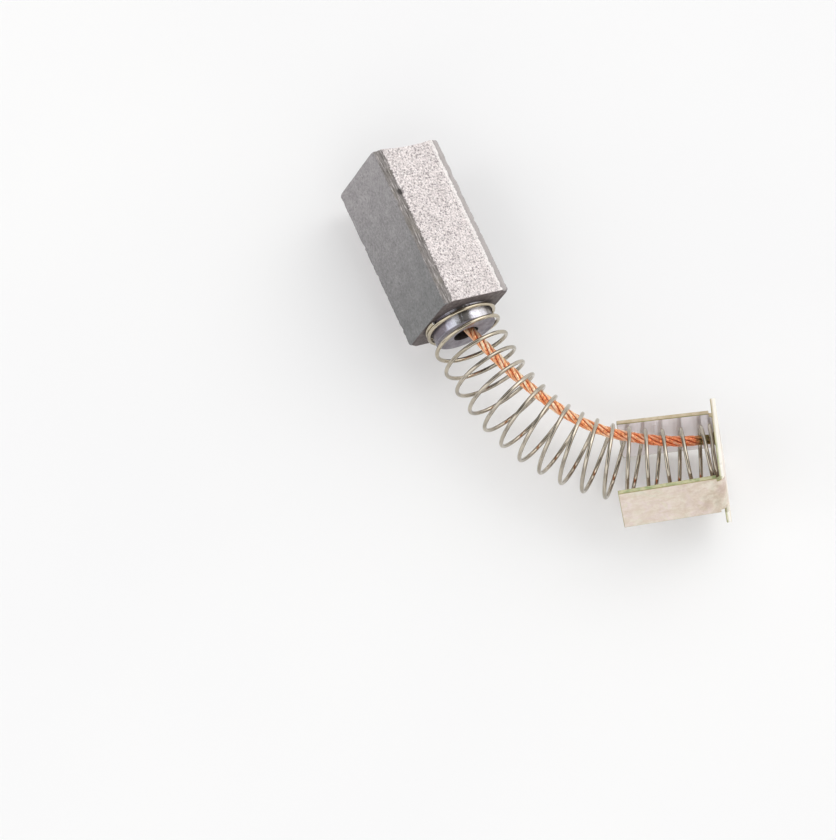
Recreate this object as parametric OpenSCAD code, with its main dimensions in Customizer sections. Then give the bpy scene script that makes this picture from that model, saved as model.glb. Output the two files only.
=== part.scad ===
// Carbon brush with boss-mounted spring, copper shunt and folded terminal clip.
// It lies free on a table: the block rests on one chamfered edge, the spring is bent
// sideways and the clip leans on one ear of its back plate.

/* [Carbon block] */
// Width of the block, across the speckled guide face
block_w = 6.5; // [5:0.1:8]
// Thickness of the block, across the smooth guide face
block_t = 8; // [6:0.1:10]
// Length of the block, contact end to spring end
block_l = 15; // [10:0.1:20]
// Width of the long-edge chamfers on the speckled faces
chamfer_w = 0.72; // [0.3:0.01:1]
// Width of the long-edge chamfers on the smooth faces
chamfer_t = 0.34; // [0.1:0.01:0.6]
// Radius of the concave contact end, that of the commutator
contact_r = 18; // [10:0.5:40]

/* [Boss] */
// Diameter of the round boss that carries the spring
boss_d = 5.4; // [4.5:0.05:5.55]
// Length of the boss
boss_l = 1.5; // [1:0.1:3]
// Chamfer on the rim of the boss
boss_chamfer = 0.12; // [0.05:0.01:0.3]
// Diameter of the hole that takes the shunt
hole_d = 2.1; // [1.5:0.1:3]
// Depth of the hole from the front of the boss
hole_depth = 5.5; // [3:0.1:8]
// Depth of the tamped powder below the front of the boss
plug_depth = 1.6; // [1.4:0.1:2]

/* [Spring] */
// Outer diameter of the spring
spring_od = 6.34; // [6.2:0.02:6.4]
// Diameter of the spring wire
wire_d = 0.34; // [0.25:0.01:0.45]
// Pitch of the coils round the bend
pitch_bend = 1.64; // [1.5:0.01:1.7]
// Pitch of the coils inside the clip
pitch_clip = 1.74; // [1.6:0.01:2]
// Angle of the wire's cut end round the boss, from the spring's right-hand side
wire_start = -36; // [-60:1:60]

/* [Bend] */
// Length of the spring's axis, from the end face of the block to the back plate
axis_length = 27.4; // [26.5:0.05:29]
// Share of the axis over which the bend begins, and over which it ends
bend_ease = 0.26; // [0.2:0.01:0.3]
// Compass direction of the block, from its contact end to its spring end
block_heading = -66.45; // [-80:0.05:-50]
// Compass direction of the clip, from its open end to its back plate
clip_heading = 5.5; // [-10:0.05:10]
// Upward tilt of the clip towards its back plate
clip_pitch = 8.4; // [7:0.1:8.4]
// Length over which the free spring sags, from the end face of the block
sag_length = 18.7; // [16:0.1:20]
// Distance from the end face at which the axis starts to climb with the clip
climb_from = 18.5; // [17:0.1:20]
// Length over which the axis takes up the tilt of the clip
climb_length = 7; // [5:0.1:7.5]

/* [Shunt] */
// Diameter over the strands of the copper shunt
shunt_d = 0.92; // [0.7:0.01:1]
// Number of strands in the shunt
shunt_strands = 6; // [4:1:8]
// Length of one turn of the strands
shunt_lay = 6.5; // [4:0.1:12]
// Greatest distance of the shunt from the spring's axis, on the inside of the bend
shunt_offset = 2.33; // [1.5:0.01:2.33]
// Angle by which the shunt lies above the level of the axis
shunt_lift = 18; // [0:1:40]
// Distance of the weld from the centre of the back plate
weld_offset = 1.85; // [0.5:0.01:2]
// Diameter of the weld
weld_d = 1.3; // [1:0.05:1.6]
// Thickness of the weld on the plate
weld_t = 0.2; // [0.1:0.05:0.3]

/* [Clip] */
// Thickness of the sheet
sheet_t = 0.42; // [0.3:0.01:0.6]
// Width of the clip over its folds
clip_w = 7.75; // [7.7:0.05:8.5]
// Length of the clip from its open end to the outside of its back plate
clip_l = 8.6; // [6:0.1:10]
// Extra reach of the upper arm over the lower arm, from a skew cut
arm_skew = 0.4; // [0:0.05:0.6]
// Height of the two arms
arm_h = 4.15; // [3:0.05:4.15]
// Height of the back plate over its ears
plate_h = 7.3; // [7.3:0.1:9]
// Outward lean of each arm
arm_splay = 1.85; // [1.5:0.05:2]
// Inside radius of the folds
fold_r = 0.3; // [0.1:0.05:0.5]
// Depth of the relief notches at the folds
notch = 0.3; // [0.1:0.05:0.5]
// Gap between an arm and the ear beside it
ear_gap = 0.12; // [0.05:0.01:0.3]
// Corner radius of the ears
ear_r = 0.35; // [0.1:0.05:0.8]

/* [Hidden] */
$fn = 96;
eps = 0.01;

// The block lies flat on a chamfer, so the chamfer sets its roll.
roll = atan(chamfer_t / chamfer_w);
axis_z = (block_w / 2 - chamfer_w) * sin(roll) + block_t / 2 * cos(roll);

// Point of the spring's axis on the end face of the block
axis_start = [-6.195, 1.226, axis_z];

// Outside radius of the clip's folds
fold_out = fold_r + sheet_t;

// The clip leans on the rounded corner of its lowest ear, which sets the height of the plate.
plate_z = ear_r * cos(clip_pitch)
    + (clip_w / 2 - ear_r) * sin(roll) * cos(clip_pitch)
    + (plate_h / 2 - ear_r) * cos(roll) * cos(clip_pitch);
// The axis sags and then climbs with the clip. The sag brings its end to the plate's height.
climb_height = (axis_length - climb_from - climb_length / 2) * sin(clip_pitch);
sag = asin((climb_height + axis_z - plate_z) / (sag_length / 2));
bend_angle = clip_heading - block_heading;
axis_step = 0.1;

function clamp01(x) = min(1, max(0, x));
function unit(v) = v / norm(v);
function smooth(x) = x * x * (3 - 2 * x);
// Rises from 0 to 1 with round ends, each a share e of the whole, and straight between them
function eased(x, e) =
    x < e ? x * x / (2 * e * (1 - e))
    : x > 1 - e ? 1 - (1 - x) * (1 - x) / (2 * e * (1 - e))
    : (x - e / 2) / (1 - e);
function heading(s) =
    block_heading + bend_angle * eased(clamp01(s / axis_length), bend_ease);
function pitch_at(s) =
    clip_pitch * smooth(clamp01((s - climb_from) / climb_length))
    - sag * pow(sin(180 * clamp01(s / sag_length)), 2);
function along(s) = [
    cos(heading(s)) * cos(pitch_at(s)),
    sin(heading(s)) * cos(pitch_at(s)),
    sin(pitch_at(s))
];
function left(s) = [-sin(heading(s)), cos(heading(s)), 0];
function above(s) = cross(along(s), left(s));

axis_steps = ceil(axis_length / axis_step);
axis_points = [
    for (
        i = 0, p = axis_start;
        i <= axis_steps;
        p = p + axis_step * along((i + 0.5) * axis_step), i = i + 1
    ) p
];
// Point of the axis at a distance s from the end face; it runs on straight before and after
function axis_at(s) =
    s <= 0 ? axis_start + s * along(0)
    : let (i = min(axis_steps - 1, floor(s / axis_step)))
      axis_points[i] + (s - i * axis_step) * along(s);

// Centre of the inner face of the back plate
plate_centre = axis_at(axis_length);

// Turns of the spring: closed, opening, bend pitch, clip pitch, closing, closed
coil_r = (spring_od - wire_d) / 2;
open_turns = 0.2;
bend_turns = 13;
first_s = wire_d / 2;
bend_s = first_s + wire_d + open_turns * (wire_d + pitch_bend) / 2;
clip_s = bend_s + bend_turns * pitch_bend;
last_s = axis_length - wire_d / 2;
closing_s = last_s - wire_d - open_turns * (wire_d + pitch_clip) / 2;
clip_turns = (closing_s - clip_s) / pitch_clip;
turns = 1 + open_turns + bend_turns + clip_turns + open_turns + 1;
function ramp(x, a, b) = a * x + (b - a) * x * x / (2 * open_turns);
// Distance along the axis after n turns of the wire
function coil_s(n) =
    let (
        n1 = n - 1,
        n2 = n1 - open_turns,
        n3 = n2 - bend_turns,
        n4 = n3 - clip_turns,
        n5 = n4 - open_turns
    )
    n5 > 0 ? last_s - wire_d + n5 * wire_d
    : n4 > 0 ? closing_s + ramp(n4, pitch_clip, wire_d)
    : n3 > 0 ? clip_s + n3 * pitch_clip
    : n2 > 0 ? bend_s + n2 * pitch_bend
    : n1 > 0 ? first_s + wire_d + ramp(n1, wire_d, pitch_bend)
    : first_s + n * wire_d;
function coil_out(n) =
    let (s = coil_s(n), a = wire_start + 360 * n)
    -left(s) * cos(a) - above(s) * sin(a);
function coil_at(n) = axis_at(coil_s(n)) + coil_r * coil_out(n);
rings_per_turn = 20;
wire_sides = 8;

// Route of the shunt: from the bottom of the hole, along the inside of the bend, to the plate
shunt_start = boss_l - hole_depth;
shunt_rise_from = 0;
shunt_rise_length = 12.3;
shunt_fall_from = 19;
shunt_end = axis_length - weld_t / 2;
shunt_step = 0.3;
function shunt_side(s) =
    s < shunt_fall_from
    ? shunt_offset * sin(90 * clamp01((s - shunt_rise_from) / shunt_rise_length))
    : weld_offset + (shunt_offset - weld_offset)
      * (1 + cos(180 * (s - shunt_fall_from) / (shunt_end - shunt_fall_from))) / 2;
function shunt_out(s) = cos(shunt_lift) * left(s) + sin(shunt_lift) * above(s);
function shunt_at(s) = axis_at(s) + shunt_side(s) * shunt_out(s);
function shunt_along(s) = unit(shunt_at(s + 0.05) - shunt_at(s - 0.05));
strand_points = 3;
strand_depth = 0.16;
// Radius of the rope's outline, a round crown for each strand
function shunt_radius(a) =
    shunt_d / 2 * (1 - strand_depth * (1 - abs(cos(shunt_strands * a / 2))));

// Faces of a tube of rings, each of m points, with flat ends
function tube_faces(rings, m) = concat(
    [[for (k = [0 : m - 1]) k]],
    [
        for (j = [0 : rings - 2], k = [0 : m - 1])
            let (
                a = j * m + k,
                b = j * m + (k + 1) % m,
                c = a + m,
                d = b + m
            )
            each [[a, c, d], [a, d, b]]
    ],
    [[for (k = [m - 1 : -1 : 0]) (rings - 1) * m + k]]
);

// Puts a part that points along +X on the block's axis
module on_block() {
    translate(axis_start)
        rotate([-roll, 0, block_heading])
            children();
}

// Puts a part that points along +X on the clip's axis, at the inner face of the plate
module on_clip() {
    translate(plate_centre)
        rotate([-roll, -clip_pitch, clip_heading])
            children();
}

// Cylinder along +X
module rod(d, from, to) {
    translate([from, 0, 0])
        rotate([0, 90, 0])
            cylinder(d = d, h = to - from);
}

module block_section() {
    polygon([
        for (q = [[1, 1], [-1, 1], [-1, -1], [1, -1]])
            let (
                on_smooth = [q.x * block_w / 2, q.y * (block_t / 2 - chamfer_t)],
                on_speckled = [q.x * (block_w / 2 - chamfer_w), q.y * block_t / 2]
            )
            each (q.x * q.y > 0 ? [on_smooth, on_speckled] : [on_speckled, on_smooth])
    ]);
}

module carbon_block() {
    color("dimgray")
        on_block()
            difference() {
                union() {
                    rotate([90, 0, -90])
                        linear_extrude(block_l)
                            block_section();
                    rod(boss_d, -eps, boss_l - boss_chamfer);
                    translate([boss_l - boss_chamfer, 0, 0])
                        rotate([0, 90, 0])
                            cylinder(
                                d1 = boss_d,
                                d2 = boss_d - 2 * boss_chamfer,
                                h = boss_chamfer
                            );
                }
                rod(hole_d, boss_l - hole_depth, boss_l + eps);
                contact_hollow();
            }
}

// Cylinder of the commutator, cut into the contact end
module contact_hollow() {
    sagitta = contact_r - sqrt(contact_r * contact_r - block_w * block_w / 4);
    translate([sagitta - block_l - contact_r, 0, -block_t])
        cylinder(r = contact_r, h = 2 * block_t, $fn = 360);
}

module contact_plug() {
    color("black")
        on_block()
            difference() {
                rod(hole_d, boss_l - hole_depth, boss_l - plug_depth);
                rod(shunt_d, boss_l - hole_depth - eps, boss_l - plug_depth + eps);
            }
}

module spring() {
    rings = floor(turns * rings_per_turn) + 1;
    function ring(n) =
        let (
            t = unit(coil_at(n + 0.01) - coil_at(n - 0.01)),
            r = coil_out(n),
            u = unit(r - t * (t * r)),
            v = cross(t, u)
        )
        [
            for (k = [0 : wire_sides - 1])
                coil_at(n) + wire_d / 2
                    * (u * cos(360 * k / wire_sides) + v * sin(360 * k / wire_sides))
        ];
    color("silver")
        polyhedron(
            points = [for (j = [0 : rings - 1]) each ring(j * turns / (rings - 1))],
            faces = tube_faces(rings, wire_sides)
        );
}

module shunt() {
    rings = ceil((shunt_end - shunt_start) / shunt_step) + 1;
    m = shunt_strands * strand_points;
    function ring(s) =
        let (
            t = shunt_along(s),
            l = left(s),
            u = unit(l - t * (t * l)),
            v = cross(t, u),
            twist = 360 * s / shunt_lay
        )
        [
            for (k = [0 : m - 1])
                let (a = 360 * k / m)
                shunt_at(s) + shunt_radius(a) * (u * cos(a + twist) + v * sin(a + twist))
        ];
    color("peru")
        union() {
            polyhedron(
                points = [
                    for (j = [0 : rings - 1])
                        each ring(shunt_start + j * (shunt_end - shunt_start) / (rings - 1))
                ],
                faces = tube_faces(rings, m)
            );
            weld();
        }
}

// Flattened end of the shunt, welded to the inner face of the plate
module weld() {
    translate(weld_offset * shunt_out(axis_length))
        on_clip()
            rod(weld_d, -weld_t, 0);
}

// Flat outline of the back plate: a body between the folds, and an ear past each end of them
module plate_outline() {
    square([clip_w - 2 * fold_out, plate_h], center = true);
    for (end = [-1, 1])
        scale([1, end])
            ear_outline();
}

// Pair of ears at one end of the plate, with rounded outer corners
module ear_outline() {
    ear_z = arm_h / 2 + ear_gap;
    translate([-clip_w / 2, ear_z])
        square([clip_w, plate_h / 2 - ear_r - ear_z]);
    translate([-(clip_w / 2 - ear_r), ear_z])
        square([clip_w - 2 * ear_r, plate_h / 2 - ear_z]);
    for (side = [-1, 1])
        translate([side * (clip_w / 2 - ear_r), plate_h / 2 - ear_r])
            circle(r = ear_r);
}

module back_plate() {
    rotate([90, 0, 90])
        linear_extrude(sheet_t)
            plate_outline();
}

// One arm with its fold, on the +Y side of the plate
module arm(reach) {
    fold_h = arm_h - 2 * notch;
    arm_length = (reach - sheet_t - fold_r) / cos(arm_splay);
    translate([-fold_r, clip_w / 2 - fold_out, 0]) {
        translate([0, 0, -fold_h / 2])
            rotate_extrude(angle = 90 - arm_splay)
                translate([fold_r, 0])
                    square([sheet_t, fold_h]);
        rotate([0, 0, 90 - arm_splay])
            translate([fold_r, -eps, -arm_h / 2])
                cube([sheet_t, arm_length + eps, arm_h]);
    }
}

module terminal_clip() {
    color("lightgray")
        on_clip()
            union() {
                back_plate();
                arm(clip_l - arm_skew / 2);
                mirror([0, 1, 0])
                    arm(clip_l + arm_skew / 2);
            }
}

carbon_block();
contact_plug();
spring();
shunt();
terminal_clip();
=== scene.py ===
"""Looks of a loose carbon brush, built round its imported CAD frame.

Lengths are in millimetres up to the point where a mesh is made; MM turns them into metres.
The dimensions at the top are those of the CAD model, so each piece fills the solid it stands for.
"""

import math

import bpy
import numpy as np
from mathutils import Matrix, Vector, noise


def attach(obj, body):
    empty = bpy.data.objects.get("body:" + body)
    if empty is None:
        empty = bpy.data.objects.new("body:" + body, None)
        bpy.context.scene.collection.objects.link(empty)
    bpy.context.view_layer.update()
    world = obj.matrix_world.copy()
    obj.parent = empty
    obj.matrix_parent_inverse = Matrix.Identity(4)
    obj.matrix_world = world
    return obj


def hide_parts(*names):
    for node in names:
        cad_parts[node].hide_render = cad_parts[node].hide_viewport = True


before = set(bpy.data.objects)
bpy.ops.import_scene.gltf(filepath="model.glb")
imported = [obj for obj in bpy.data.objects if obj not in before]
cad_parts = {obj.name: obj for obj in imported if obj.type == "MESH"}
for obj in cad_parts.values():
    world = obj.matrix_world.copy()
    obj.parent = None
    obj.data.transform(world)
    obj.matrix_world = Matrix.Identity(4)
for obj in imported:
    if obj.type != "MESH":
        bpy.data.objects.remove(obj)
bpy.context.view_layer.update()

MM = 0.001

# Carbon block and boss
BLOCK_W, BLOCK_T, BLOCK_L = 6.5, 8.0, 15.0
CHAMFER_W, CHAMFER_T = 0.72, 0.34
CONTACT_R = 18.0
BOSS_D, BOSS_L, BOSS_CHAMFER = 5.4, 1.5, 0.12
HOLE_D, HOLE_DEPTH = 2.1, 5.5

# Spring
SPRING_OD, WIRE_D = 6.34, 0.34
PITCH_BEND, PITCH_CLIP = 1.64, 1.74
OPEN_TURNS, BEND_TURNS = 0.2, 13
WIRE_START = math.radians(-36)

# Axis of the spring
AXIS_LENGTH, BEND_EASE = 27.4, 0.26
BLOCK_HEADING, CLIP_HEADING, CLIP_PITCH = -66.45, 5.5, 8.4
SAG_LENGTH, CLIMB_FROM, CLIMB_LENGTH = 18.7, 18.5, 7.0
AXIS_STEP = 0.1

# Shunt
SHUNT_D, SHUNT_STRANDS, SHUNT_LAY = 0.92, 6, 6.5
SHUNT_OFFSET, SHUNT_LIFT = 2.33, math.radians(18)
RISE_FROM, RISE_LENGTH, FALL_FROM = 0.0, 12.3, 19.0
WELD_OFFSET, WELD_D, WELD_T = 1.85, 1.3, 0.2

# Terminal clip
SHEET_T, CLIP_W, PLATE_H, EAR_R = 0.42, 7.75, 7.3, 0.35
CLIP_L, ARM_SKEW, ARM_H, ARM_SPLAY = 8.6, 0.4, 4.15, math.radians(1.85)
FOLD_R, FOLD_NOTCH, EAR_GAP = 0.3, 0.3, 0.12

# The block lies on the flat of a chamfer, and everything else is rolled as it is
ROLL = math.atan(CHAMFER_T / CHAMFER_W)

# Place of the weld in the clip's own coordinates
WELD_ANGLE = SHUNT_LIFT + ROLL
WELD_AT = (0.0, WELD_OFFSET * math.cos(WELD_ANGLE), WELD_OFFSET * math.sin(WELD_ANGLE))


# ---------------------------------------------------------------- axis, coil and shunt


def clamp01(x):
    return np.clip(x, 0.0, 1.0)


def smooth(x):
    return x * x * (3 - 2 * x)


def eased(x, e):
    """0 to 1 with round ends, each a share e of the whole, and straight between them."""
    scale = 2 * e * (1 - e)
    middle = (x - e / 2) / (1 - e)
    return np.where(x < e, x * x / scale, np.where(x > 1 - e, 1 - (1 - x) ** 2 / scale, middle))


def unit(v):
    return v / np.linalg.norm(v, axis=-1, keepdims=True)


cos_pitch = math.cos(math.radians(CLIP_PITCH))
axis_z = (BLOCK_W / 2 - CHAMFER_W) * math.sin(ROLL) + BLOCK_T / 2 * math.cos(ROLL)
plate_z = cos_pitch * (
    EAR_R + (CLIP_W / 2 - EAR_R) * math.sin(ROLL) + (PLATE_H / 2 - EAR_R) * math.cos(ROLL)
)
AXIS_START = np.array([-6.195, 1.226, axis_z])
climb_height = (AXIS_LENGTH - CLIMB_FROM - CLIMB_LENGTH / 2) * math.sin(math.radians(CLIP_PITCH))
SAG = math.degrees(math.asin((climb_height + axis_z - plate_z) / (SAG_LENGTH / 2)))


def heading(s):
    turn = eased(clamp01(s / AXIS_LENGTH), BEND_EASE)
    return np.radians(BLOCK_HEADING + (CLIP_HEADING - BLOCK_HEADING) * turn)


def pitch(s):
    climb = CLIP_PITCH * smooth(clamp01((s - CLIMB_FROM) / CLIMB_LENGTH))
    return np.radians(climb - SAG * np.sin(np.pi * clamp01(s / SAG_LENGTH)) ** 2)


def directions(s):
    """Unit vectors along, to the left of and above the axis, at distances s from the block."""
    s = np.asarray(s, float)
    h, p = heading(s), pitch(s)
    along = np.stack([np.cos(h) * np.cos(p), np.sin(h) * np.cos(p), np.sin(p)], -1)
    left = np.stack([-np.sin(h), np.cos(h), 0 * h], -1)
    return along, left, np.cross(along, left)


stations = np.arange(0, AXIS_LENGTH + AXIS_STEP / 2, AXIS_STEP)
steps = AXIS_STEP * directions(stations[:-1] + AXIS_STEP / 2)[0]
axis_table = AXIS_START + np.vstack([np.zeros(3), np.cumsum(steps, axis=0)])


def axis_at(s):
    """Points of the axis; it runs on straight before the block's end face."""
    s = np.asarray(s, float)
    inside = np.stack([np.interp(s, stations, axis_table[:, i]) for i in range(3)], -1)
    return inside + np.minimum(s, 0)[..., None] * directions(0.0)[0]


coil_r = (SPRING_OD - WIRE_D) / 2
bend_s = WIRE_D * 1.5 + OPEN_TURNS * (WIRE_D + PITCH_BEND) / 2
clip_s = bend_s + BEND_TURNS * PITCH_BEND
closing_s = AXIS_LENGTH - WIRE_D * 1.5 - OPEN_TURNS * (WIRE_D + PITCH_CLIP) / 2
clip_turns = (closing_s - clip_s) / PITCH_CLIP
TURNS = 2 + 2 * OPEN_TURNS + BEND_TURNS + clip_turns


def coil_s(n):
    """Distance along the axis after n turns: closed, opening, bend, clip, closing, closed."""

    def ramp(x, a, b):
        return a * x + (b - a) * x * x / (2 * OPEN_TURNS)

    n1 = n - 1
    n2 = n1 - OPEN_TURNS
    n3 = n2 - BEND_TURNS
    n4 = n3 - clip_turns
    n5 = n4 - OPEN_TURNS
    return np.select(
        [n5 > 0, n4 > 0, n3 > 0, n2 > 0, n1 > 0],
        [
            AXIS_LENGTH - WIRE_D * 1.5 + n5 * WIRE_D,
            closing_s + ramp(n4, PITCH_CLIP, WIRE_D),
            clip_s + n3 * PITCH_CLIP,
            bend_s + n2 * PITCH_BEND,
            WIRE_D * 1.5 + ramp(n1, WIRE_D, PITCH_BEND),
        ],
        WIRE_D / 2 + n * WIRE_D,
    )


def coil_at(n):
    """Points of the wire's centre line after n turns, and the outward directions there."""
    s = coil_s(n)
    _, left, above = directions(s)
    a = (WIRE_START + 2 * np.pi * n)[..., None]
    outward = -left * np.cos(a) - above * np.sin(a)
    return axis_at(s) + coil_r * outward, outward


shunt_start = BOSS_L - HOLE_DEPTH
shunt_end = AXIS_LENGTH - WELD_T / 2


def shunt_frame(s):
    """Points of the shunt's centre line, and two directions across it."""
    rise = np.sin(np.pi / 2 * clamp01((s - RISE_FROM) / RISE_LENGTH))
    fall = (1 + np.cos(np.pi * clamp01((s - FALL_FROM) / (shunt_end - FALL_FROM)))) / 2
    side = np.where(
        s < FALL_FROM, SHUNT_OFFSET * rise, WELD_OFFSET + (SHUNT_OFFSET - WELD_OFFSET) * fall
    )
    _, left, above = directions(s)
    outward = math.cos(SHUNT_LIFT) * left + math.sin(SHUNT_LIFT) * above
    points = axis_at(s) + side[..., None] * outward
    along = unit(np.gradient(points, axis=0))
    across = unit(left - along * np.sum(along * left, -1, keepdims=True))
    return points, across, np.cross(along, across)


# ---------------------------------------------------------------- mesh helpers


ARC_POINTS = 4


def make_piece(name, vertices, faces, materials, replaced, attributes, face_material=None):
    """A piece of the object from vertices in millimetres of the row frame."""
    mesh = bpy.data.meshes.new(name)
    mesh.from_pydata((np.asarray(vertices) * MM).tolist(), [], faces)
    for key, values in attributes.items():
        values = np.asarray(values, np.float32)
        kind, field = ("FLOAT_VECTOR", "vector") if values.ndim == 2 else ("FLOAT", "value")
        mesh.attributes.new(key, kind, "POINT").data.foreach_set(field, values.ravel())
    for m in materials:
        mesh.materials.append(m)
    if face_material is not None:
        mesh.polygons.foreach_set("material_index", np.asarray(face_material, np.int32))
    mesh.polygons.foreach_set("use_smooth", [True] * len(mesh.polygons))
    mesh.update()
    piece = bpy.data.objects.new(name, mesh)
    bpy.context.scene.collection.objects.link(piece)
    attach(piece, "root")
    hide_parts(replaced)


def loft_faces(rings, sides, first=0):
    """Quads between rings of vertices that are numbered one after the other, and two end faces."""
    j, k = np.meshgrid(np.arange(rings - 1), np.arange(sides), indexing="ij")
    a = first + j * sides + k
    b = first + j * sides + (k + 1) % sides
    faces = np.stack([a, b, b + sides, a + sides], -1).reshape(-1, 4).tolist()
    last = first + (rings - 1) * sides
    faces.append(list(range(first + sides - 1, first - 1, -1)))
    faces.append(list(range(last, last + sides)))
    return faces


def rounded_outline(corners, radii, guard=0.0, spacing=0.0):
    """Points of a closed outline with rounded corners.

    A guard is the distance of one more point either side of a corner, which keeps the straight
    run flat; a spacing divides the straight runs.
    """
    corners = np.array(corners, float)
    back = unit(np.roll(corners, 1, 0) - corners)
    ahead = unit(np.roll(corners, -1, 0) - corners)
    turn = math.pi - np.arccos(np.sum(back * ahead, 1))
    way = np.sign(back[:, 1] * ahead[:, 0] - back[:, 0] * ahead[:, 1])
    cut = np.array(radii) * np.tan(turn / 2)
    centres = corners + unit(back + ahead) * (np.array(radii) / np.cos(turn / 2))[:, None]
    points = []
    for i, centre in enumerate(centres):
        start = corners[i] + back[i] * cut[i] - centre
        if guard:
            points.append(corners[i] + back[i] * (cut[i] + guard))
        for a in np.linspace(0, way[i] * turn[i], ARC_POINTS):
            rotation = np.array([[math.cos(a), -math.sin(a)], [math.sin(a), math.cos(a)]])
            points.append(centre + rotation @ start)
        leave = corners[i] + ahead[i] * (cut[i] + guard)
        if guard:
            points.append(leave)
        if spacing:
            j = (i + 1) % len(corners)
            arrive = corners[j] + back[j] * cut[j]
            count = math.ceil(np.linalg.norm(arrive - leave) / spacing)
            points += [leave + t * (arrive - leave) for t in np.arange(1, count) / count]
    return np.array(points)


def outline_normals(outline):
    """Inward unit normals of an outline."""
    ahead = unit(np.roll(outline, -1, 0) - np.roll(outline, 1, 0))
    return np.column_stack([-ahead[:, 1], ahead[:, 0]])


def tube(points, across, up, radius, sides):
    """Rings of vertices round a centre line."""
    a = 2 * np.pi * np.arange(sides) / sides
    radius = np.broadcast_to(radius, len(points))[:, None, None]
    round_it = np.cos(a)[None, :, None] * across[:, None] + np.sin(a)[None, :, None] * up[:, None]
    return (points[:, None] + radius * round_it).reshape(-1, 3)


def arc_lengths(points):
    """Distance of each point along a line from its start."""
    return np.concatenate([[0], np.cumsum(np.linalg.norm(np.diff(points, axis=0), axis=1))])


def noise_at(points, scale, seed=0):
    """Smooth noise from about -1 to 1 at points in millimetres; scale is in waves per mm."""
    shift = Vector((seed * 17.3, seed * 5.1, seed * 9.7))
    return np.array([noise.noise(Vector(p) * scale + shift) for p in points])


# ---------------------------------------------------------------- material helpers


WHITE = (1, 1, 1, 1)


def srgb(r, g, b):
    """Linear colour of an 8-bit display colour."""
    return tuple(
        c / 12.92 if c <= 0.04045 else ((c + 0.055) / 1.055) ** 2.4
        for c in (r / 255, g / 255, b / 255)
    ) + (1.0,)


class Nodes:
    """A node tree that is built up by short calls; each call returns its output socket."""

    def __init__(self, tree):
        self.tree = tree

    def put(self, socket, value):
        if isinstance(value, bpy.types.NodeSocket):
            self.tree.links.new(value, socket)
        else:
            socket.default_value = value

    def node(self, kind, inputs=None, output=0, **settings):
        made = self.tree.nodes.new("ShaderNode" + kind)
        for key, value in settings.items():
            setattr(made, key, value)
        for key, value in (inputs or {}).items():
            self.put(made.inputs[key], value)
        return made.outputs[output]

    def fit(self, value, low, high, to_low=0.0, to_high=1.0):
        """A value's range carried over to another range, and held at its ends."""
        values = {
            "Value": value, "From Min": low, "From Max": high, "To Min": to_low, "To Max": to_high,
        }
        return self.node("MapRange", values)

    def math(self, operation, a, b):
        return self.node("Math", {0: a, 1: b}, operation=operation)

    def plus(self, a, b):
        return self.math("ADD", a, b)

    def times(self, a, b):
        return self.math("MULTIPLY", a, b)

    def scaled(self, vector, x, y, z):
        return self.node("VectorMath", {0: vector, 1: (x, y, z)}, operation="MULTIPLY")

    def dot(self, a, b):
        return self.node("VectorMath", {0: a, 1: b}, output="Value", operation="DOT_PRODUCT")

    def mix(self, amount, a, b):
        """The second colour laid over the first by an amount from 0 to 1."""
        made = self.tree.nodes.new("ShaderNodeMix")
        made.data_type = "RGBA"
        for index, value in ((0, amount), (6, a), (7, b)):
            self.put(made.inputs[index], value)
        return made.outputs[2]


class Paint(Nodes):
    """A node material: patterns and coordinates, and a shader that they end in."""

    def __init__(self, name):
        self.material = bpy.data.materials.new(name)
        self.material.use_nodes = True
        super().__init__(self.material.node_tree)
        self.shader = self.tree.nodes["Principled BSDF"]

    def value(self, name):
        """One number for each point of the mesh."""
        return self.node("Attribute", output="Fac", attribute_name=name)

    def place(self, name):
        """Coordinates in millimetres that the mesh carries."""
        return self.node("Attribute", output="Vector", attribute_name=name)

    def object_mm(self):
        """Object coordinates, in millimetres."""
        coords = self.node("TexCoord", output="Object")
        return self.node("VectorMath", {0: coords, "Scale": 1 / MM}, operation="SCALE")

    def part(self, coords, axis):
        """The X, Y or Z of some coordinates."""
        return self.node("SeparateXYZ", {"Vector": coords}, output=axis)

    def noise(self, coords, scale, detail=3.0, rough=0.55, distortion=0.0):
        values = {
            "Vector": coords, "Scale": scale, "Detail": detail,
            "Roughness": rough, "Distortion": distortion,
        }
        return self.node("TexNoise", values)

    def ramp(self, value, *stops):
        made = self.tree.nodes.new("ShaderNodeValToRGB")
        self.put(made.inputs[0], value)
        ends = made.color_ramp.elements
        while len(ends) < len(stops):
            ends.new(0.5)
        for end, (place, colour) in zip(ends, stops):
            end.position = place
            end.color = colour
        return made.outputs[0]

    def bump(self, height, distance, strength):
        values = {"Height": height, "Distance": distance * MM, "Strength": strength}
        return self.node("Bump", values)

    def finish(self, colour, roughness, metallic, normal=None):
        self.put(self.shader.inputs["Base Color"], colour)
        self.put(self.shader.inputs["Roughness"], roughness)
        self.put(self.shader.inputs["Metallic"], metallic)
        if normal is not None:
            self.put(self.shader.inputs["Normal"], normal)
        return self.material

    def whiten(self, share):
        """Mixes plain white into what camera and glossy rays see, as on an evenly lit backdrop."""
        camera_ray = self.node("LightPath", output="Is Camera Ray")
        glossy_ray = self.node("LightPath", output="Is Glossy Ray")
        amount = self.times(self.math("MAXIMUM", camera_ray, glossy_ray), share)
        white = self.node("Emission", {"Color": WHITE, "Strength": 1.0})
        mixed = self.node("MixShader", {0: amount, 1: self.shader.outputs[0], 2: white})
        self.put(self.tree.nodes["Material Output"].inputs["Surface"], mixed)


# ---------------------------------------------------------------- materials


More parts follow.
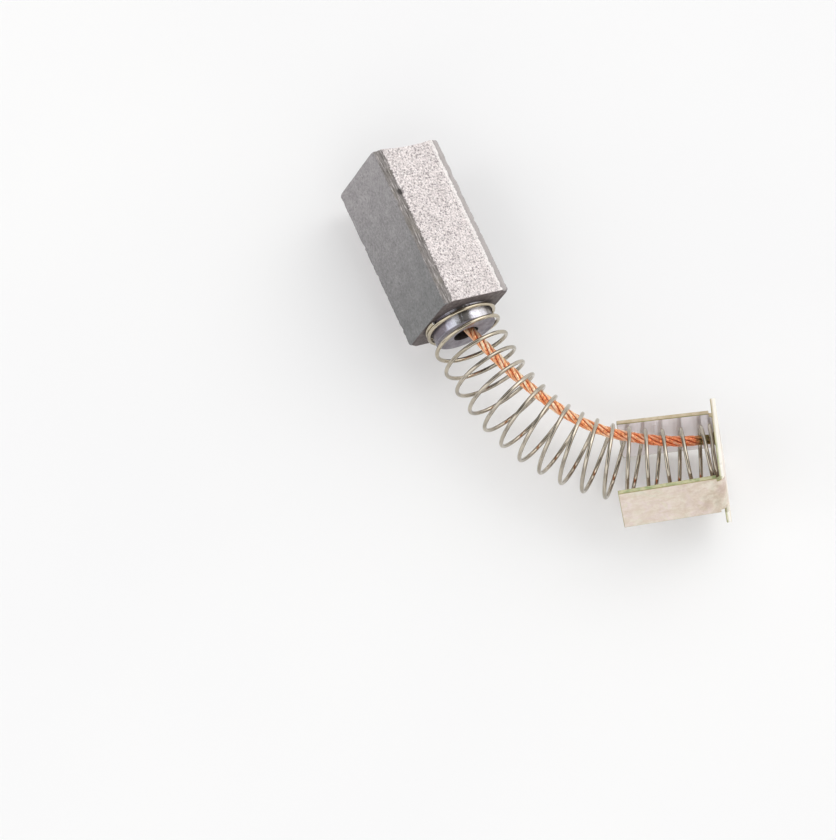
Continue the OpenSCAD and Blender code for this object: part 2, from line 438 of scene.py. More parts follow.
def specks(p, coords, scale, share, size):
    """Round specks, 0 to 1, in the given share of randomly chosen cells."""
    values = {"Vector": coords, "Scale": scale}
    distance = p.node("TexVoronoi", values)
    pick = p.node("SeparateColor", {"Color": p.node("TexVoronoi", values, output="Color")})
    chosen = p.fit(pick, 1 - share - 0.02, 1 - share + 0.02)
    return p.times(chosen, p.fit(distance, size, size * 0.45))


def ground_carbon(p, mm, grain, dark_specks):
    """Colour of the ground faces: grain with dark specks and faint clouds, lightened by a painted
    sheen, with bright sparkles that are painted glints.
    """
    # This grain is partly painted light: the silvery sheen of the ground faces is painted into
    # their colour as a pale tone
    colour = p.ramp(
        grain,
        (0.32, srgb(146, 137, 136)),
        (0.42, srgb(198, 189, 188)),
        (0.53, srgb(232, 223, 222)),
        (0.66, srgb(253, 246, 244)),
    )
    colour = p.mix(p.times(dark_specks, 0.86), colour, srgb(122, 113, 115))
    # Near-white specks are painted glints: highlights on single grains, painted as colour
    painted_glints = specks(p, p.scaled(mm, 1.1, 1.0, 1.2), 6.1, 0.16, 0.5)
    colour = p.mix(p.times(painted_glints, 0.9), colour, srgb(252, 248, 247))
    cloud = p.fit(p.noise(mm, 0.55, 3), 0.42, 0.66, 0.0, 0.22)
    return p.mix(cloud, colour, srgb(182, 173, 172))


def pressed_carbon(p, mm):
    """Colour of the pressed faces, darker towards the spring, with a fine mottle and pits."""
    fade = p.fit(p.plus(p.part(mm, "X"), p.fit(p.noise(mm, 0.35, 2), 0, 1, -3, 3)), -14, -1)
    colour = p.mix(fade, srgb(155, 151, 152), srgb(121, 121, 121))
    blotches = p.fit(p.noise(mm, 0.9, 3, 0.6), 0.3, 0.7, -0.14, 0.14)
    mottle = p.plus(blotches, p.fit(p.noise(mm, 4.0, 5, 0.85), 0.3, 0.7, -0.45, 0.45))
    colour = p.node("HueSaturation", {"Value": p.plus(mottle, 1.0), "Color": colour})
    pits = p.math("MAXIMUM", specks(p, mm, 1.5, 0.12, 0.24), specks(p, mm, 3.1, 0.1, 0.4))
    return p.mix(p.times(pits, 0.4), colour, srgb(96, 92, 95))


def chamfered_carbon(p, mm, across):
    """Colour of the chamfers: streaked along, painted paler on one side as painted light falling on
    it, and olive on the other.
    """
    streak = p.noise(p.scaled(mm, 0.3, 2.4, 2.4), 3.2, 4, 0.8)
    colour = p.ramp(
        streak,
        (0.34, srgb(84, 79, 76)),
        (0.46, srgb(126, 121, 118)),
        (0.55, srgb(140, 134, 132)),
        (0.64, srgb(204, 198, 196)),
    )
    # Painted light: the chamfers on the +Y side are mixed towards pale grey, as if lit from that
    # side
    colour = p.mix(p.fit(across, 0.0, 1.0, 0.0, 0.7), colour, srgb(184, 177, 176))
    olive = p.fit(p.noise(mm, 0.6, 2), 0.5, 0.7, 0.0, 0.35)
    olive = p.times(olive, p.fit(across, 0.0, 1.0, 1.0, 0.0))
    return p.mix(olive, colour, srgb(128, 121, 106))


def carbon_long_faces():
    """Ground speckled faces, pressed smooth faces and the chamfers between them."""
    p = Paint("carbon_long_faces")
    mm = p.place("block_mm")
    across = p.part(mm, "Y")
    rag = p.noise(mm, 3.4, 4, 0.75)
    on_ground = p.plus(p.value("ground"), p.fit(rag, 0.3, 0.7, -0.13, 0.13))
    on_pressed = p.plus(p.value("pressed"), p.fit(rag, 0.3, 0.7, -0.08, 0.08))

    grain = p.noise(mm, 5.8, 4, 0.72)
    fine = specks(p, p.scaled(mm, 1, 1.3, 1.3), 7.4, 0.3, 0.55)
    dark_specks = p.math("MAXIMUM", specks(p, mm, 4.4, 0.36, 0.5), fine)
    ground = ground_carbon(p, mm, grain, dark_specks)
    # Painted highlight: a near-white line along the ground face's edge on the +Y side, where light
    # catches the edge
    painted_rim_highlight = p.times(p.fit(on_ground, 0.42, 0.16), p.fit(across, 0.0, 1.0))
    ground = p.mix(p.times(painted_rim_highlight, 0.6), ground, srgb(250, 246, 244))

    chamfer = chamfered_carbon(p, mm, across)
    colour = p.mix(p.fit(on_pressed, -0.05, 0.05), chamfer, pressed_carbon(p, mm))
    colour = p.mix(p.times(p.fit(on_ground, -0.14, -0.02), 0.35), colour, srgb(96, 90, 86))
    ground_share = p.fit(on_ground, -0.03, 0.03)
    colour = p.mix(ground_share, colour, ground)
    colour = p.mix(p.value("chip"), colour, srgb(62, 57, 55))
    height = p.mix(ground_share, p.noise(mm, 9, 4, 0.7), p.math("SUBTRACT", grain, dark_specks))
    roughness = p.fit(ground_share, 0, 1, 0.55, 0.5)
    return p.finish(colour, roughness, 0.0, p.bump(height, 0.035, 0.55))


def carbon_plain(name, dark, light, scale, roughness, metallic=0.0):
    """Pressed carbon with a soft mottle, for the spring end, the boss's front and the hole; the
    hole's near-black colour is painted shade.
    """
    p = Paint(name)
    mm = p.place("block_mm")
    mottle = p.noise(mm, scale, 5, 0.68)
    colour = p.ramp(mottle, (0.32, srgb(*dark)), (0.68, srgb(*light)))
    normal = p.bump(p.noise(mm, 8, 4, 0.65), 0.04, 0.4)
    gloss = p.fit(mottle, 0.3, 0.7, roughness + 0.08, roughness - 0.08)
    return p.finish(colour, gloss, metallic, normal)


def carbon_contact():
    """Run-in contact end, with fine lines along the commutator's travel."""
    p = Paint("carbon_contact")
    mm = p.place("block_mm")
    lines = p.noise(p.scaled(mm, 0.1, 0.1, 3.0), 2.2, 4, 0.7)
    mottle = p.noise(mm, 2.2, 4, 0.7)
    colour = p.ramp(lines, (0.3, srgb(96, 91, 92)), (0.7, srgb(140, 134, 134)))
    colour = p.mix(p.fit(mottle, 0.5, 0.75, 0.0, 0.5), colour, srgb(164, 157, 156))
    return p.finish(colour, p.fit(mottle, 0.3, 0.7, 0.34, 0.5), 0.1, p.bump(lines, 0.03, 0.5))


def carbon_boss():
    """Side of the boss, burnished, with bright and dark bands round it that are painted
    reflections.
    """
    p = Paint("carbon_boss")
    mm = p.place("block_mm")
    turn = p.value("turn")
    blur = p.fit(p.noise(p.scaled(mm, 0.6, 1.6, 1.6), 1.5, 4, 0.7), 0.25, 0.75, -0.035, 0.035)
    # Painted reflections: bright and dark bands placed by angle round the boss stand for the
    # surroundings mirrored in its side
    painted_reflection_bands = p.ramp(
        p.plus(turn, blur),
        (0.00, srgb(132, 127, 130)),
        (0.11, srgb(84, 79, 80)),
        (0.17, srgb(150, 144, 142)),
        (0.215, srgb(250, 248, 254)),
        (0.265, srgb(226, 224, 234)),
        (0.30, srgb(92, 89, 86)),
        (0.335, srgb(98, 95, 92)),
        (0.37, srgb(232, 234, 244)),
        (0.405, srgb(190, 188, 204)),
        (0.43, srgb(130, 122, 130)),
        (0.50, srgb(112, 105, 112)),
        (0.62, srgb(156, 150, 154)),
        (0.80, srgb(112, 107, 110)),
    )
    scuffs = p.noise(p.scaled(mm, 3.0, 1.0, 1.0), 3.4, 4, 0.75)
    colour = p.mix(p.fit(scuffs, 0.52, 0.72, 0.0, 0.5), painted_reflection_bands, srgb(70, 66, 72))
    normal = p.bump(p.noise(mm, 6, 4, 0.65), 0.03, 0.3)
    return p.finish(colour, p.fit(scuffs, 0.3, 0.7, 0.26, 0.42), 0.45, normal)


def spring_steel():
    """Bright drawn wire with fine lines along it."""
    p = Paint("spring_steel")
    wire = p.place("wire_mm")
    lines = p.noise(p.scaled(wire, 0.4, 7.0, 7.0), 1.6, 2, 0.5)
    stain = p.noise(wire, 0.3, 3, 0.6)
    colour = p.mix(p.fit(stain, 0.35, 0.65), srgb(168, 160, 147), srgb(202, 193, 178))
    oiled = p.fit(p.part(wire, "X"), 20.0, 70.0, 0.4, 0.0)
    colour = p.mix(oiled, colour, srgb(206, 192, 160))
    colour = p.mix(p.fit(lines, 0.5, 0.72, 0.0, 0.6), colour, srgb(84, 76, 56))
    roughness = p.fit(lines, 0.3, 0.7, 0.05, 0.11)
    return p.finish(colour, roughness, 1.0, p.bump(lines, 0.003, 0.2))


def cut_steel_painted_glint():
    """Freshly cut ends of the wire, whose near-white colour is a painted glint."""
    p = Paint("cut_steel_painted_glint")
    grain = p.noise(p.object_mm(), 12, 3, 0.6)
    # Near-white colour is a painted glint of light on the cut faces
    colour = p.ramp(grain, (0.3, srgb(238, 232, 222)), (0.7, srgb(255, 252, 246)))
    return p.finish(colour, 0.4, 0.1)


def copper_wire():
    """Bare copper, with painted shade between the strands, and heat-tinted near the weld."""
    p = Paint("copper_wire")
    wire = p.place("wire_mm")
    depth = p.value("depth")
    tint = p.value("tint")
    run = p.part(wire, "X")
    stain = p.noise(p.scaled(wire, 1.0, 3.0, 3.0), 0.8, 4, 0.65)
    colour = p.ramp(
        stain,
        (0.32, srgb(255, 146, 94)),
        (0.47, srgb(255, 186, 132)),
        (0.60, srgb(255, 238, 206)),
    )
    colour = p.mix(p.fit(run, 20.0, 26.0, 0.0, 0.45), colour, srgb(255, 124, 76))
    # Painted shade: the copper is darkened deep between the strands, where shade falls
    colour = p.mix(p.fit(depth, 0.72, 0.93, 0.8, 0.0), colour, srgb(204, 86, 46))
    blotch = p.fit(p.noise(wire, 1.6, 3, 0.6), 0.3, 0.7, -0.2, 0.2)
    scorch = p.fit(p.plus(tint, blotch), 0.1, 0.8, 0.0, 0.92)
    colour = p.mix(scorch, colour, srgb(98, 98, 56))
    return p.finish(colour, p.fit(stain, 0.3, 0.7, 0.22, 0.36), 0.7)


def sheet_colour(p, mm):
    """Pale zinc, clouded by a yellow, pink and green passivation tint; and its smudges."""
    tint = p.noise(mm, 0.5, 3, 0.62, 0.8)
    colour = p.ramp(
        tint,
        (0.26, srgb(226, 230, 215)),
        (0.40, srgb(238, 232, 219)),
        (0.50, srgb(240, 230, 221)),
        (0.60, srgb(238, 225, 223)),
        (0.74, srgb(235, 231, 210)),
    )
    smudge = p.noise(p.scaled(mm, 0.8, 1.0, 1.7), 1.1, 5, 0.72)
    return p.mix(p.fit(smudge, 0.5, 0.74, 0.0, 0.55), colour, srgb(204, 180, 152)), smudge


def near_arm_tint_and_shade(p, mm, colour):
    """Peach mottling on the outside of the near arm, over a painted shade that darkens the whole
    arm, and brown patches towards its fold.
    """
    near_arm = p.fit(p.part(mm, "Y"), -3.4, -3.0, 1.0, 0.0)
    # The mix never falls below about a quarter, so the whole near arm is darkened as painted shade,
    # with the peach mottling on top
    mottle = p.fit(p.noise(mm, 1.5, 4, 0.7), 0.4, 0.62, 0.26, 0.6)
    colour = p.mix(p.times(near_arm, mottle), colour, srgb(208, 188, 166))
    near_fold = p.fit(p.part(mm, "X"), -4.4, -0.6, 0.0, 0.5)
    patch = p.times(near_arm, p.fit(p.noise(mm, 0.9, 4, 0.7), 0.4, 0.65))
    return p.mix(p.times(near_fold, patch), colour, srgb(170, 140, 112))


def scorched_at_weld(p, mm, colour):
    """Olive heat tint round the weld, fainter on the back of the plate."""
    to_weld = p.node("VectorMath", {0: mm, 1: WELD_AT}, output="Value", operation="DISTANCE")
    heat = p.plus(to_weld, p.fit(p.noise(mm, 1.8, 3), 0, 1, -0.25, 0.25))
    tint = p.ramp(
        p.fit(heat, 0.5, 1.7),
        (0.0, srgb(88, 88, 54)),
        (0.35, srgb(118, 118, 70)),
        (0.6, srgb(168, 160, 108)),
        (1.0, srgb(222, 214, 190)),
    )
    through = p.fit(p.part(mm, "X"), 0.1, 0.3, 1.0, 0.5)
    return p.mix(p.times(through, p.fit(heat, 0.6, 1.5, 0.95, 0.0)), colour, tint)


def plated_sheet():
    """Faces of the sheet, with rolled lines along it; the inside of the far arm is painted near
    white as painted light.
    """
    p = Paint("plated_sheet")
    mm = p.place("clip_mm")
    colour, smudge = sheet_colour(p, mm)
    colour = near_arm_tint_and_shade(p, mm, colour)
    off_axis = p.dot(mm, (math.tan(ARM_SPLAY), 1.0, 0.0))
    far_inside_painted_light = p.times(p.fit(off_axis, 3.2, 3.4), p.fit(off_axis, 3.7, 3.6))
    # Painted light: the inside of the far arm is mixed towards near white, so it looks lit though
    # the near arm and spring shade it
    colour = p.mix(p.times(far_inside_painted_light, 0.85), colour, srgb(255, 250, 254))
    colour = scorched_at_weld(p, mm, colour)
    rolled = p.noise(p.scaled(mm, 0.3, 1.0, 6.0), 1.5, 3, 0.6)
    height = p.plus(p.noise(mm, 4.5, 4, 0.65), p.times(rolled, 0.5))
    rubbed = p.fit(far_inside_painted_light, 0.0, 1.0, 1.0, 0.4)
    roughness = p.times(p.fit(smudge, 0.3, 0.7, 0.3, 0.48), rubbed)
    return p.finish(colour, roughness, 0.35, p.bump(height, 0.018, 0.4))


def plated_edge():
    """Sheared edges of the sheet, where the tint is strongest."""
    p = Paint("plated_edge")
    mm = p.place("clip_mm")
    tint = p.noise(mm, 1.3, 3, 0.6)
    green = p.ramp(tint, (0.40, srgb(158, 170, 122)), (0.60, srgb(206, 202, 162)))
    beige = p.ramp(tint, (0.36, srgb(196, 178, 146)), (0.64, srgb(216, 200, 174)))
    far_arm = p.fit(p.part(mm, "Y"), -1.0, 1.0)
    colour = p.mix(far_arm, green, beige)
    on_plate = p.fit(p.part(mm, "X"), 0.06, 0.24)
    colour = p.mix(on_plate, colour, srgb(255, 251, 242))
    height = p.noise(mm, 7.0, 3, 0.6)
    return p.finish(colour, 0.4, 0.3, p.bump(height, 0.03, 0.5))


def plated_rim():
    """Rounded rims of the sheet, dark olive where the plating has yellowed."""
    p = Paint("plated_rim")
    mm = p.place("clip_mm")
    tint = p.noise(mm, 0.9, 3, 0.65)
    colour = p.ramp(
        tint,
        (0.3, srgb(142, 146, 92)),
        (0.5, srgb(166, 152, 110)),
        (0.7, srgb(178, 182, 126)),
    )
    on_plate = p.fit(p.part(mm, "X"), 0.1, 0.25)
    colour = p.mix(on_plate, colour, srgb(250, 245, 230))
    return p.finish(colour, 0.4, 0.4)


def contact_powder():
    """Tamped metal powder at the bottom of the hole."""
    p = Paint("contact_powder")
    mm = p.object_mm()
    grain = p.noise(mm, 9, 4, 0.75)
    colour = p.ramp(grain, (0.35, srgb(30, 24, 22)), (0.65, srgb(104, 78, 62)))
    return p.finish(colour, 0.7, 0.3, p.bump(grain, 0.08, 0.8))


# ---------------------------------------------------------------- carbon block


def rotation_to(heading_deg, pitch_deg):
    """Turns local axes, with +X ahead, to a heading, an upward pitch and the common roll."""
    turn = (
        Matrix.Rotation(math.radians(heading_deg), 3, "Z")
        @ Matrix.Rotation(-math.radians(pitch_deg), 3, "Y")
        @ Matrix.Rotation(-ROLL, 3, "X")
    )
    return np.array(turn)


block_turn = rotation_to(BLOCK_HEADING, 0)
clip_turn = rotation_to(CLIP_HEADING, CLIP_PITCH)
PLATE_CENTRE = axis_at(AXIS_LENGTH)

# Rounding of the section's corners, and the size of the mesh's cells
EDGE_R, CELL = 0.07, 0.1

# Points move inward towards a core, this far below the faces
CORE_GAP = 0.9

# Where the wear of the block's corners begins and over what distance it grows, as (across, up)
CORNER_FROM, CORNER_GROWTH = (2.3, 3.2), (0.9, 0.6)

# Rounding of the rims of both ends: everywhere, more at the corners, and at random
RIM_LEAST, RIM_AT_CORNER, RIM_UNEVEN = 0.05, 0.2, 0.05

# Chip in the upper left long edge
CHIP_AT = (-10.75, -2.62, BLOCK_T / 2)
CHIP_SIZE = (0.36, 0.28, 0.5)
CHIP_DEPTH = 0.16

ZONES = ["long", "contact", "end", "boss", "front", "hole"]


def section_outline():
    """Points of the block's section, with rounded corners, as (across, up)."""
    corners = []
    for y, z in ((1, 1), (-1, 1), (-1, -1), (1, -1)):
        on_side = (y * BLOCK_W / 2, z * (BLOCK_T / 2 - CHAMFER_T))
        on_top = (y * (BLOCK_W / 2 - CHAMFER_W), z * BLOCK_T / 2)
        corners += [on_side, on_top] if y * z > 0 else [on_top, on_side]
    return rounded_outline(corners, [EDGE_R] * len(corners), spacing=CELL)


def corner_share(outline):
    """1 at the corners of the section and 0 away from them."""
    share = smooth(clamp01((np.abs(outline) - CORNER_FROM) / CORNER_GROWTH))
    return share[:, 0] * share[:, 1]


def rim_radius(outline, seed):
    """How far the rim of an end is rounded at each point of the outline, most at the corners."""
    points = np.column_stack([outline, np.full(len(outline), seed)])
    uneven = RIM_UNEVEN * clamp01(noise_at(points, 1.1, seed))
    return RIM_LEAST + RIM_AT_CORNER * corner_share(outline) + uneven


def contact_x(y):
    """Surface of the contact end, hollowed by the commutator across its width."""
    sagitta = CONTACT_R - math.sqrt(CONTACT_R**2 - BLOCK_W**2 / 4)
    return -BLOCK_L + sagitta - (CONTACT_R - np.sqrt(CONTACT_R**2 - y**2))


def ring(zone, x, yz):
    """Points of one ring of the block's surface, and the zone of the faces before it."""
    return ZONES.index(zone), np.column_stack([np.broadcast_to(x, len(yz)), yz])


def block_rings():
    """Rings of the block's surface, from the contact end's middle to the hole's bottom.

    Also gives the direction in which each point of a ring moves inward.
    """
    outline = section_outline()
    core = np.array([BLOCK_W / 2 - CORE_GAP, BLOCK_T / 2 - CORE_GAP])
    inward = unit(np.clip(outline, -core, core) - outline)

    def rim(radius, depth):
        """Outline of a rounded rim, at a share of its radius from the end."""
        return outline + inward * (radius * (1 - math.sqrt(1 - (1 - depth) ** 2)))[:, None]

    far_rim, near_rim = rim_radius(outline, 3), rim_radius(outline, 8)
    rings = []
    for share in np.linspace(0.02, 1, 36):
        yz = rim(far_rim, 0) * share
        rings.append(ring("contact", contact_x(yz[:, 0]), yz))
    for depth in (0.08, 0.25, 0.5, 0.75):
        yz = rim(far_rim, depth)
        rings.append(ring("long", contact_x(yz[:, 0]) + far_rim * depth, yz))
    start, end = contact_x(outline[:, 0]) + far_rim, -near_rim
    for t in np.linspace(0, 1, math.ceil(BLOCK_L / CELL)):
        rings.append(ring("long", start + t * (end - start), outline))
    for depth in (0.75, 0.5, 0.25, 0.08, 0):
        rings.append(ring("long", -near_rim * depth, rim(near_rim, depth)))
    rings += boss_rings(outline, rim(near_rim, 0))
    return rings, np.column_stack([0 * inward[:, 0], inward])


def boss_rings(outline, face):
    """Rings from the rim of the spring end's face, over the boss, to the bottom of its hole."""
    angle = np.arctan2(outline[:, 1], outline[:, 0])
    circle = np.stack([np.cos(angle), np.sin(angle)], -1)
    boss = circle * BOSS_D / 2
    hole_rim, hole_end = 0.06, BOSS_L - HOLE_DEPTH
    rings = [ring("end", 0.0, face * (1 - t) + boss * t) for t in np.linspace(0.04, 1, 14)]
    rings += [ring("boss", x, boss) for x in np.linspace(0.06, BOSS_L - BOSS_CHAMFER, 14)]
    for r in np.linspace(BOSS_D / 2 - BOSS_CHAMFER, HOLE_D / 2 + hole_rim, 18):
        rings.append(ring("front", BOSS_L, circle * r))
    for x in np.linspace(BOSS_L - hole_rim, hole_end, 20):
        rings.append(ring("hole", x, circle * HOLE_D / 2))
    rings.append(ring("hole", hole_end, circle * 0.05))
    return rings


def chip_share(local):
    """1 in the middle of the chip on the long edge, 0 outside it."""
    away = np.linalg.norm((local - CHIP_AT) / CHIP_SIZE, axis=1)
    away = away + 0.25 * noise_at(local, 3.0, 5)
    return smooth(clamp01(1.25 - away))


def wear(local, ground, pressed, on_long):
    """Inward shift of each point: nibbled long edges, the chip and the grain of the faces."""
    edge_gap = np.minimum(np.abs(ground), np.abs(pressed))
    near_edge = np.exp(-((edge_gap / 0.13) ** 2))
    bite = clamp01(noise_at(local, 1.6, 1) * 1.4) * 0.07 + clamp01(noise_at(local, 4.5, 2)) * 0.07
    grain = 0.005 * (1 + noise_at(local, 5.5, 4))
    return (near_edge * bite + grain + CHIP_DEPTH * chip_share(local)) * on_long


def carbon_block():
    rings, inward = block_rings()
    count = len(inward)
    ring_zone = np.array([zone for zone, _ in rings])
    local = np.concatenate([points for _, points in rings])
    inward = np.tile(inward, (len(rings), 1))
    on_long = np.repeat(ring_zone == ZONES.index("long"), count)
    ground = (BLOCK_W / 2 - CHAMFER_W) - np.abs(local[:, 1])
    pressed = (BLOCK_T / 2 - CHAMFER_T) - np.abs(local[:, 2])
    attributes = {
        "block_mm": local,
        "ground": ground,
        "pressed": pressed,
        "turn": np.arctan2(local[:, 2], local[:, 1]) / (2 * math.pi) % 1,
        "chip": clamp01(chip_share(local) * 1.6) * on_long,
    }
    worn = local + inward * wear(local, ground, pressed, on_long)[:, None]
    end_caps = [ZONES.index("contact"), ZONES.index("hole")]
    materials = [
        carbon_long_faces(),
        carbon_contact(),
        carbon_plain("carbon_end", (80, 72, 71), (122, 112, 110), 2.4, 0.6),
        carbon_boss(),
        carbon_plain("carbon_front", (112, 106, 116), (166, 162, 172), 1.5, 0.4, 0.2),
        # The hole's near-black colour is painted shade inside the recess
        carbon_plain("carbon_hole_painted_shade", (24, 20, 20), (50, 42, 42), 3.0, 0.75),
    ]
    make_piece(
        "carbon_body", worn @ block_turn.T + AXIS_START, loft_faces(len(rings), count), materials,
        "carbon_block", attributes, np.repeat(ring_zone[1:], count).tolist() + end_caps,
    )


# ---------------------------------------------------------------- spring


def wire_coordinates(length, sides, radius):
    """Coordinates of a straight wire for each vertex of a bent one."""
    a = np.tile(2 * np.pi * np.arange(sides) / sides, len(length) // sides)
    return np.column_stack([length, radius * np.cos(a), radius * np.sin(a)])


def spring_wire():
    sides, per_turn, end_bevel = 20, 120, 0.02
    n = np.linspace(0, TURNS, math.ceil(TURNS * per_turn) + 1)
    points, outward = coil_at(n)
    along = unit(np.gradient(points, axis=0))
    across = unit(outward - along * np.sum(along * outward, -1, keepdims=True))
    radius = np.full(len(n), WIRE_D / 2)
    radius[0] = radius[-1] = WIRE_D / 2 - end_bevel
    length = np.repeat(arc_lengths(points), sides)
    cut_ends = [1, 1]
    make_piece(
        "spring_wire", tube(points, across, np.cross(along, across), radius, sides),
        loft_faces(len(n), sides), [spring_steel(), cut_steel_painted_glint()], "spring",
        {"wire_mm": wire_coordinates(length, sides, WIRE_D / 2)},
        [0] * ((len(n) - 1) * sides) + cut_ends,
    )


# ---------------------------------------------------------------- shunt


STRAND_R = SHUNT_D / 6
CORE_SIDES = 10

# The lobes round a strand are the fine wires that it is twisted from
LOBES, LOBE_DEPTH, LOBE_LAY = 7, 0.022, 3.4
STRAND_SIDES = 5 * LOBES

# Strands lie up to this much closer to the core in places
LOOSENESS = 0.03

# The heat of the weld has darkened the rope's end from this far before it, over this length
SCORCH_BEFORE, SCORCH_LENGTH = 1.7, 0.8

# Each strand has its own stains, from coordinates that are shifted by its seed
SEED_SHIFT, NUGGET_SEED = 3.7, 9


def lobed_strand(centre, across, up, spin):
    """Rings of a strand whose outline shows the fine wires it is twisted from."""
    a = 2 * np.pi * np.arange(STRAND_SIDES) / STRAND_SIDES
    radius = STRAND_R - LOBE_DEPTH * (1 - np.abs(np.cos(LOBES * a / 2)))
    a = a[None, :] + spin[:, None]
    round_it = np.cos(a)[..., None] * across[:, None] + np.sin(a)[..., None] * up[:, None]
    return (centre[:, None] + radius[None, :, None] * round_it).reshape(-1, 3)


def laid_strand(number, s, centre, across, up):
    """Rings of one of the strands that are laid round the core."""
    turn = 2 * np.pi * (number / SHUNT_STRANDS + s / SHUNT_LAY)
    lay_r = 2 * STRAND_R - LOOSENESS * (1 - np.sin(s * 0.9 + number * 2.1)) / 2
    line = centre + (lay_r * np.cos(turn))[:, None] * across + (lay_r * np.sin(turn))[:, None] * up
    along = unit(np.gradient(line, axis=0))
    side = unit(across - along * np.sum(along * across, -1, keepdims=True))
    return lobed_strand(line, side, np.cross(along, side), turn + 2 * np.pi * s / LOBE_LAY)


def weld_nugget():
    """Rings of the flattened, slightly uneven end of the rope on the back plate."""
    sides = 40
    a = 2 * np.pi * np.arange(sides) / sides
    _, left, above = directions(AXIS_LENGTH)
    lifted = math.cos(SHUNT_LIFT) * left + math.sin(SHUNT_LIFT) * above
    centre = PLATE_CENTRE + WELD_OFFSET * lifted
    wobble = 1 - 0.06 * (1 + np.sin(3 * a + 1.0)) / 2 - 0.05 * (1 + np.sin(5 * a)) / 2
    rings = []
    for t in np.linspace(0, 1, 9):
        r = WELD_D / 2 * math.cos(t * math.pi / 2 * 0.98)
        x = np.full(sides, -WELD_T * math.sin(t * math.pi / 2))
        local = np.column_stack([x, r * wobble * np.cos(a), r * wobble * np.sin(a)])
        rings.append(local @ clip_turn.T + centre)
    return np.concatenate(rings), sides


def shunt_rope():
    """Strands laid round a core, and the weld that they end in."""
    s = np.linspace(shunt_start, shunt_end, 300)
    centre, across, up = shunt_frame(s)
    cords = [(tube(centre, across, up, STRAND_R, CORE_SIDES), CORE_SIDES)]
    for number in range(SHUNT_STRANDS):
        cords.append((laid_strand(number, s, centre, across, up), STRAND_SIDES))
    run = s - shunt_start
    scorch = clamp01((s - (shunt_end - SCORCH_BEFORE)) / SCORCH_LENGTH)
    vertices, faces, straight, tint, depth = [], [], [], [], []

    def add(seed, made, sides, lengths, tints, depths):
        faces.extend(loft_faces(len(made) // sides, sides, sum(len(v) for v in vertices)))
        vertices.append(made)
        straight.append(wire_coordinates(lengths, sides, STRAND_R) + [0, seed * SEED_SHIFT, 0])
        tint.append(tints)
        depth.append(depths)

    for seed, (made, sides) in enumerate(cords):
        away = np.linalg.norm(made - np.repeat(centre, sides, 0), axis=1) / (SHUNT_D / 2)
        add(seed, made, sides, np.repeat(run, sides), np.repeat(scorch, sides), away)
    made, sides = weld_nugget()
    ones = np.ones(len(made))
    add(NUGGET_SEED, made, sides, ones * run[-1], ones, ones)
    attributes = {
        "wire_mm": np.concatenate(straight),
        "depth": np.concatenate(depth),
        "tint": np.concatenate(tint),
    }
    make_piece(
        "shunt_rope", np.concatenate(vertices), faces, [copper_wire()], "shunt", attributes
    )


# ---------------------------------------------------------------- terminal clip


# Rounding of the sheet's rims, and how far beside them a line of points keeps the faces flat
RIM, GUARD = 0.05, 0.03
RIM_ANGLES = np.radians([0, 25, 45, 65, 90])

# Zones of the sheet, in the order of its materials
SHEET, SHEARED, ROUNDED = 0, 1, 2

# Length of sheet in which a fold widens into its arm
SHOULDER = 0.002


def plate_outline():
    """Outline of the back plate with its four ears, as (across, up)."""
    body, ear = CLIP_W / 2 - FOLD_R - SHEET_T, CLIP_W / 2
    foot, top = ARM_H / 2 + EAR_GAP, PLATE_H / 2
    quarter = [(body, foot, 0.03), (ear, foot, 0.08), (ear, top, EAR_R)]
    corners = []
    for y, z in ((1, 1), (-1, 1), (-1, -1), (1, -1)):
        ordered = quarter if y * z > 0 else quarter[::-1]
        corners += [(y * across, z * up, radius) for across, up, radius in ordered]
    corners = np.array(corners)
    return rounded_outline(corners[:, :2], corners[:, 2], guard=GUARD)


def plate_mesh():
    """Back plate: vertices in the clip's coordinates, faces and their zones."""
    outline = plate_outline()
    inward = outline_normals(outline)
    profile = [(0.0, RIM + GUARD, SHEET)]
    profile += [(RIM * (1 - math.cos(a)), RIM * (1 - math.sin(a)), ROUNDED) for a in RIM_ANGLES]
    profile[-1] = (RIM, 0.0, SHEARED)
    profile.append((RIM + GUARD, 0.0, SHEARED))
    front = profile + [(SHEET_T / 2, 0.0, SHEARED)]
    back = [(SHEET_T - x, inset, zone) for x, inset, zone in reversed(profile)]
    profile = front + back
    rings = [
        np.column_stack([np.full(len(outline), x), outline + inward * inset])
        for x, inset, _ in profile
    ]
    zones = []
    for (_, a, zone_a), (_, b, zone_b) in zip(profile, profile[1:]):
        zone = ROUNDED if ROUNDED in (zone_a, zone_b) else SHEARED
        zone = SHEET if min(a, b) >= RIM else zone
        zones += [zone] * len(outline)
    return np.concatenate(rings), loft_faces(len(rings), len(outline)), zones + [SHEET, SHEET]


def strip_section(height, inset):
    """Rounded section of an arm as (through the sheet, up), and the zones round it."""
    q, z = SHEET_T / 2 - inset, height / 2 - inset
    corners = [(q, -z), (q, z), (-q, z), (-q, -z)]
    section = rounded_outline(corners, [max(RIM - inset, 0.004)] * 4, guard=GUARD)
    zones = []
    for before, after in ((SHEARED, SHEET), (SHEET, SHEARED)) * 2:
        zones += [before] + [ROUNDED] * (ARC_POINTS - 1) + [after, after]
    return section, zones


